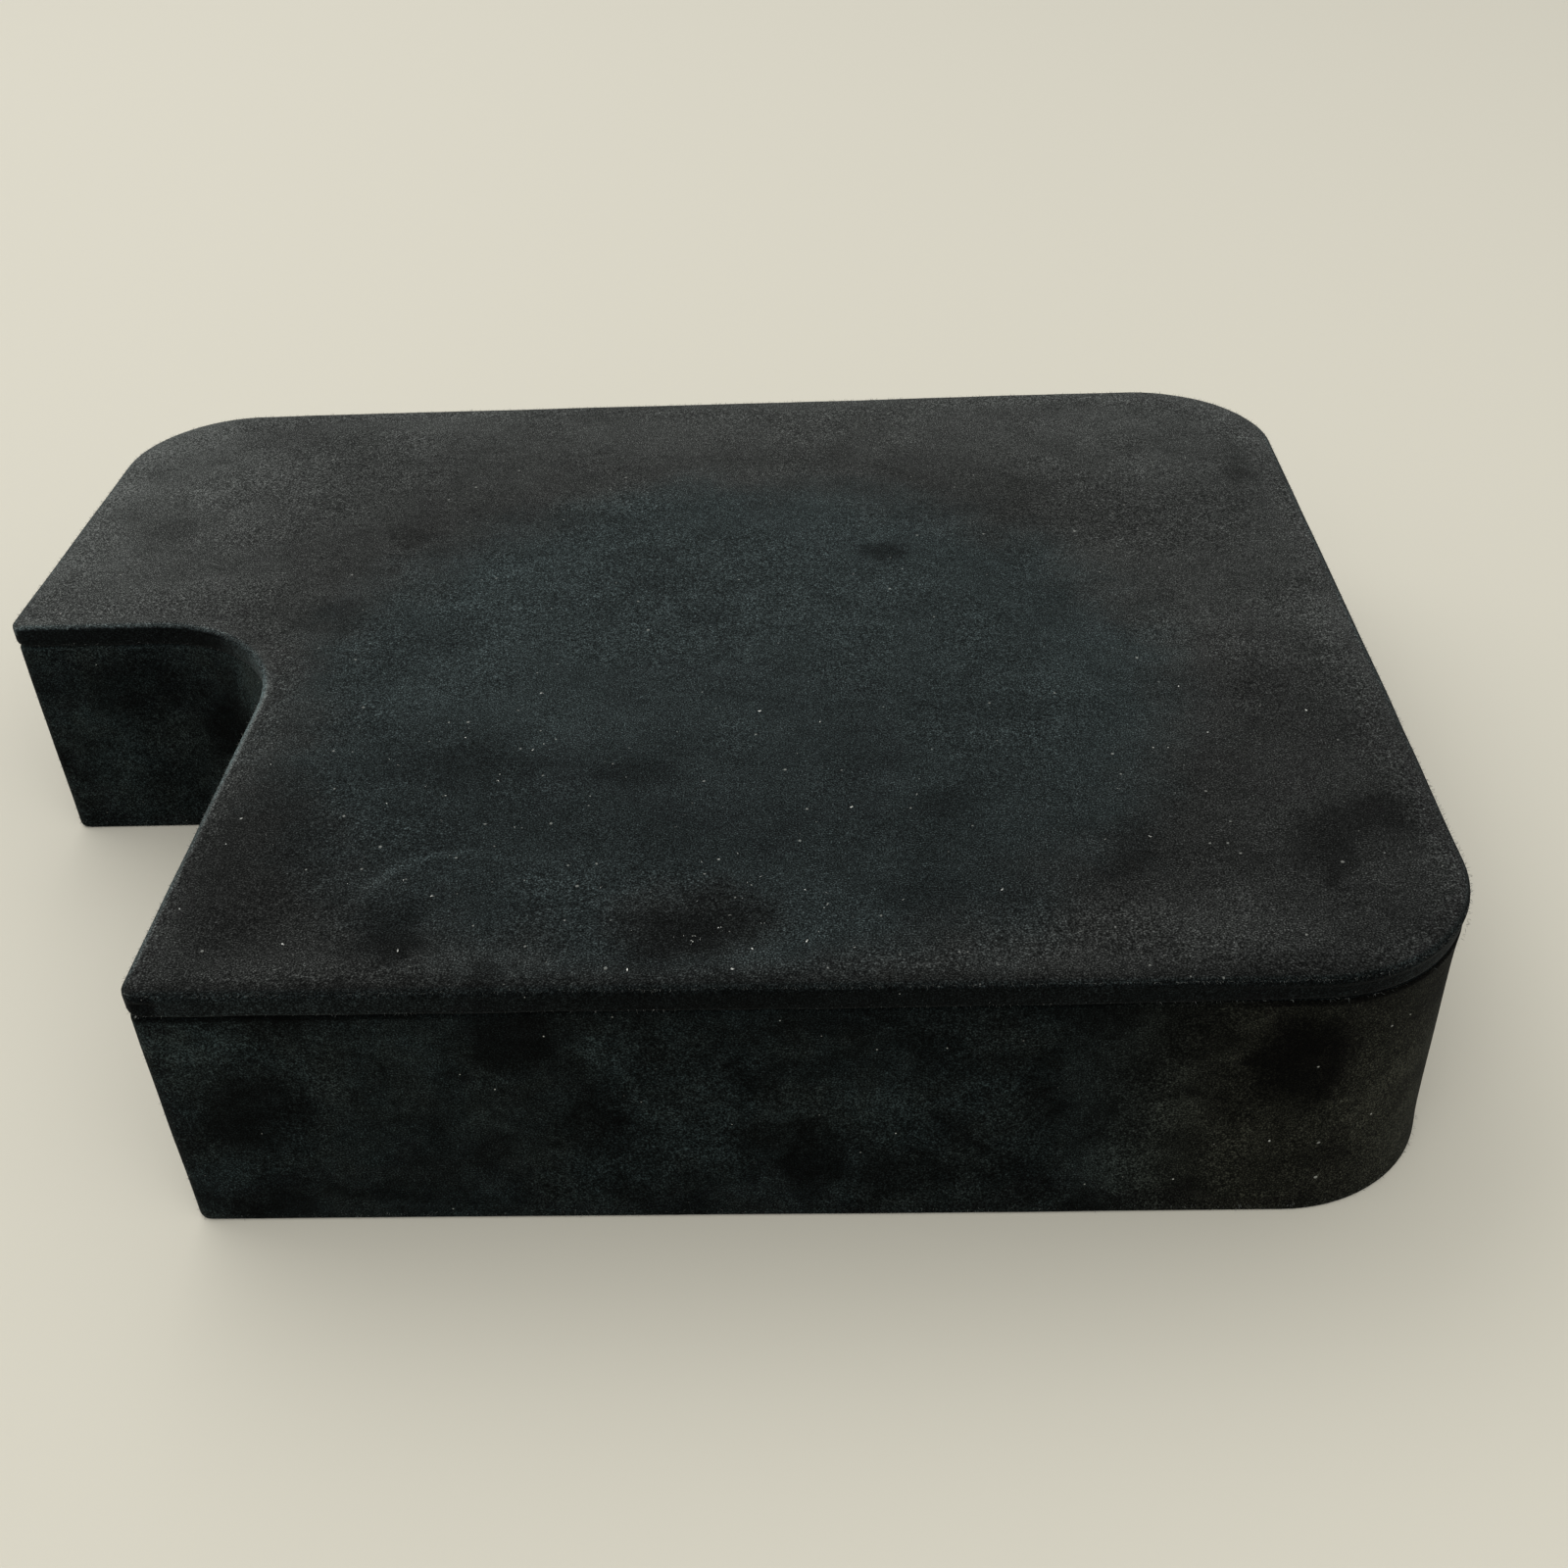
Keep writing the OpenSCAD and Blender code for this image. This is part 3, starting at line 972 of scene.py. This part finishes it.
def side_tone(place):
    """Wall patches and marks, and painted light and shade under the panel's seam."""
    x, y, z = place.parts()
    ragged_place = ragged(place, 6 * MM, 7 * MM)
    tone = 0.06 + patches(ragged_place, 13 * MM, (0.8, 0.8, 1.1)) * 0.42
    tone = tone + patches(ragged_place, 4 * MM) * 0.2
    for *centre, across, deep, high, strength in WALL_MARKS:
        spot = mark(ragged_place, centre, (across, deep, high), fades=(0.6, 1.15))
        tone = tone * (1 + spot * strength)
    front = 1 - y.ramp(-60 * MM, -50 * MM)
    near = x.ramp(60 * MM, 80 * MM) * front
    left = (1 - x.ramp(-25 * MM, -12 * MM)) * front
    # Painted shade under the panel: the top few mm of the front wall are darker.
    upper = z.ramp(band_high.z - 4 * MM, band_high.z - 1 * MM) * front
    # The fold's shoulder: painted shade in the seam, deepest by the near corner and on the left of
    # the front, and a painted highlight where it faces up, mostly away from the front.
    shoulder = z.ramp(band_high.z - 1.1 * MM, band_high.z - 0.6 * MM)
    tone = tone * (1 - upper * 0.3) * (1 - shoulder * (0.3 + near * 0.5 + left * 0.4))
    return (tone + shoulder * (0.3 - front * 0.26) * (1 - near) * (1 - left)) * SIDE_LEVEL


def side_hue(place):
    """1 where the dye has faded to olive: beyond the near corner, and less in patches elsewhere."""
    x, _, _ = place.parts()
    return x.ramp(45 * MM, 75 * MM).maths("MAXIMUM", patches(place, 9 * MM) * 0.3)


def side_lint(place):
    """A little lint all over, and a cluster of it in the notch."""
    return 0.3 + mark(place, (-79, 3, 21), (5, 5, 4), fades=(0.6, 1.2)) * 0.7


print(f"walls: {len(WALL_MARKS)} marks")

# %% [markdown]
# ### The finishes
#
# The foam and the board are porous and matt as well, so the same function makes them, with weaker
# grain and no lint. Each finish has two tints, for the hue to choose between.

# %% Make the finishes
def even(share, size=30 * MM, vary=0.15):
    """Nearly even cloth, foam or board."""
    return lambda place: share + patches(place, size) * vary


def two_tints(first, second):
    return colour(first), colour(second)


top_suede = suede("top suede", two_tints("647273", "6e716f"), 3.8, top_tone, top_hue, 0.04,
                  top_lint)
# The walls' suede is the top's cloth in darker tints: painted shade, since the walls face away from
# the light above.
side_suede = suede("side suede", two_tints("2e393a", "393a32"), 4.2, side_tone, side_hue, 0.012,
                   side_lint)
lining = suede("base lining", two_tints("202020", "242423"), 0.8, even(0.45), cloudy, 0.02, None)
foam = suede("foam body", two_tints("505052", "5c5c60"), 1.6, even(0.5), cloudy, 0.0, None)
board = suede("grey board", two_tints("b4aa98", "bfb5a4"), 0.7, even(0.5), cloudy, 0.0, None)
# The stray nap's pale grey is a painted highlight: black fibres look pale where light shines
# through them.
nap_painted_pale = suede("stray nap", two_tints("626664", "6e706c"), 0.8, even(0.4), cloudy, 0.1, None)
lint_fluff = suede("lint", two_tints("f2f3ee", "dfe2da"), 1.0, even(0.14, 2 * MM, 0.6), cloudy, 0.1,
                   None)
print("materials:", ", ".join(
    f"{m.name} ({len(m.node_tree.nodes)} nodes)"
    for m in (top_suede, side_suede, lining, foam, board, nap_painted_pale, lint_fluff)))

# %% [markdown]
# ## Put the pieces together
#
# Each piece gets its material, rides on the block's one body, and stands for the CAD solid of the
# same part. The nap and the lint stand for nothing in the CAD, so they only ride. The board keeps
# its CAD shape, which is right as it is, and gets a better material.

# %% Materials, bodies and the CAD solids that the pieces replace
for piece, material, node, slot in (
    (top_cover, top_suede, "top_cover", "top_suede"),
    (side_band, side_suede, "side_band", "side_suede"),
    (base_sheet, lining, "base_sheet", "lining"),
    (foam_block, foam, "foam_core", "foam"),
    (nap, nap_painted_pale, None, None),
    (lint_pieces, lint_fluff, None, None),
):
    piece.data.materials.clear()
    piece.data.materials.append(material)
    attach(piece, "root")
    if node:
        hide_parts(node)
    print(f"{piece.name}: {material.name}, stands for {node or 'no CAD node'}")
for material_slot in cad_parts["top_board"].material_slots:
    material_slot.material = board

# %% [markdown]
# ## What each soft piece was cut from
#
# Here the strip's length and the flat sizes of the cover and the lining are worked out, and the
# cover's size is printed. The strip's width is the wall with a margin at each edge, and its length
# goes once around. The top cover is cut a wall and a margin larger than the board all round. A bend
# uses less cloth than the square corner it replaces.

SAVED = 2 - math.pi / 2  # share of its radius that a bend saves against a square corner
strip_length = band_plan.length(BAND_TIP)

wrap = panel_high.z - panel_low.z + MARGIN - SAVED * (TOP_ROUND + LOW_ROUND)
cut_size = panel_plan.inset(-wrap)
cut_size.area()
sheet_plan.area()
print(f"cover {cut_size.x1 - cut_size.x0:.3f} x {cut_size.y1 - cut_size.y0:.3f} m")

# %% [markdown]
# ## Floor
#
# The block stands on a plain pale surface, far larger than itself. The surface isn't a part of
# the object, so it is staged and rides on nothing.

# %% Floor
FLOOR_REACH = 3.0
floor = start_plane("floor", (-FLOOR_REACH, -FLOOR_REACH), (FLOOR_REACH, FLOOR_REACH), 0)
floor_material, _, floor_shader = new_material("pale floor")
floor_shader.inputs["Base Color"].default_value = colour("c6c2b5")
floor_shader.inputs["Roughness"].default_value = 0.9
floor.data.materials.append(floor_material)
floor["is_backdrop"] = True
print(f"floor: {2 * FLOOR_REACH:.0f} m square")

# %% [markdown]
# ## Light
#
# Dark suede shows its patches best in soft light. So there are two broad lamps and a bright world.
# One lamp is behind and to the left, as a window would be, and the other fills in from the front.
# The world's light comes from all round and keeps the shadow on the floor weak.

# %% Light
def area_light(name, place, size, power):
    """A rectangular lamp that faces the middle of the block's base."""
    bpy.ops.object.select_all(action="DESELECT")
    bpy.ops.object.light_add(type="AREA", location=place)
    lamp = bpy.context.object
    lamp.name = name
    lamp.data.shape = "RECTANGLE"
    lamp.data.size, lamp.data.size_y = size
    lamp.data.energy = power
    lamp.rotation_euler = (-Vector(place)).to_track_quat("-Z", "Y").to_euler()
    print(f"{name} lamp: {power} W")


area_light("window", (-0.6, 0.6, 1.1), (1.6, 1.2), 9)
area_light("room", (0.1, -0.9, 1.1), (1.8, 1.0), 10)
world = bpy.data.worlds.new("studio")
bpy.context.scene.world = world
world.use_nodes = True
background = next(node for node in world.node_tree.nodes if node.type == "BACKGROUND")
background.inputs["Color"].default_value = colour("e6e6e2")
background.inputs["Strength"].default_value = 0.85

# %% [markdown]
# ## Camera
#
# The camera is close in front of the block and a little above it, and looks down. Close up, the
# near side looks much larger than the far one, so the camera's place matters more than its lens.
# It is turned in three steps: it swings left or right, tips down, and rolls.

# %% Camera
EYE = Vector((28.5 * MM, -221 * MM, 169.5 * MM))
YAW, PITCH, ROLL = math.radians(-3.05), math.radians(36), math.radians(-2.9)
bpy.ops.object.select_all(action="DESELECT")
bpy.ops.object.camera_add(location=EYE)
camera = bpy.context.object
camera.rotation_euler = (
    Matrix.Rotation(-YAW, 4, "Z") @ Matrix.Rotation(math.radians(90) - PITCH, 4, "X")
    @ Matrix.Rotation(ROLL, 4, "Z")).to_euler()
camera.data.sensor_width = 36
camera.data.lens = 40
camera.data.clip_start = 0.01
bpy.context.scene.camera = camera
bpy.context.scene.view_settings.view_transform = "Standard"
print(f"camera: {EYE.length:.3f} m from the middle of the base, {camera.data.lens:.0f} mm lens")

# %% [markdown]
# ## Finish
#
# Cloth may stand a little proud of the CAD, but the block mustn't grow. So the CAD's box and the
# finished model's box are both written down, to be compared.

# %% Compare the boxes and finish
shown_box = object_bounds()
growth = (shown_box[1] - shown_box[0]) - (cad_box[1] - cad_box[0])
print("the box grew by", ", ".join(f"{side / MM:.2f}" for side in growth), "mm")
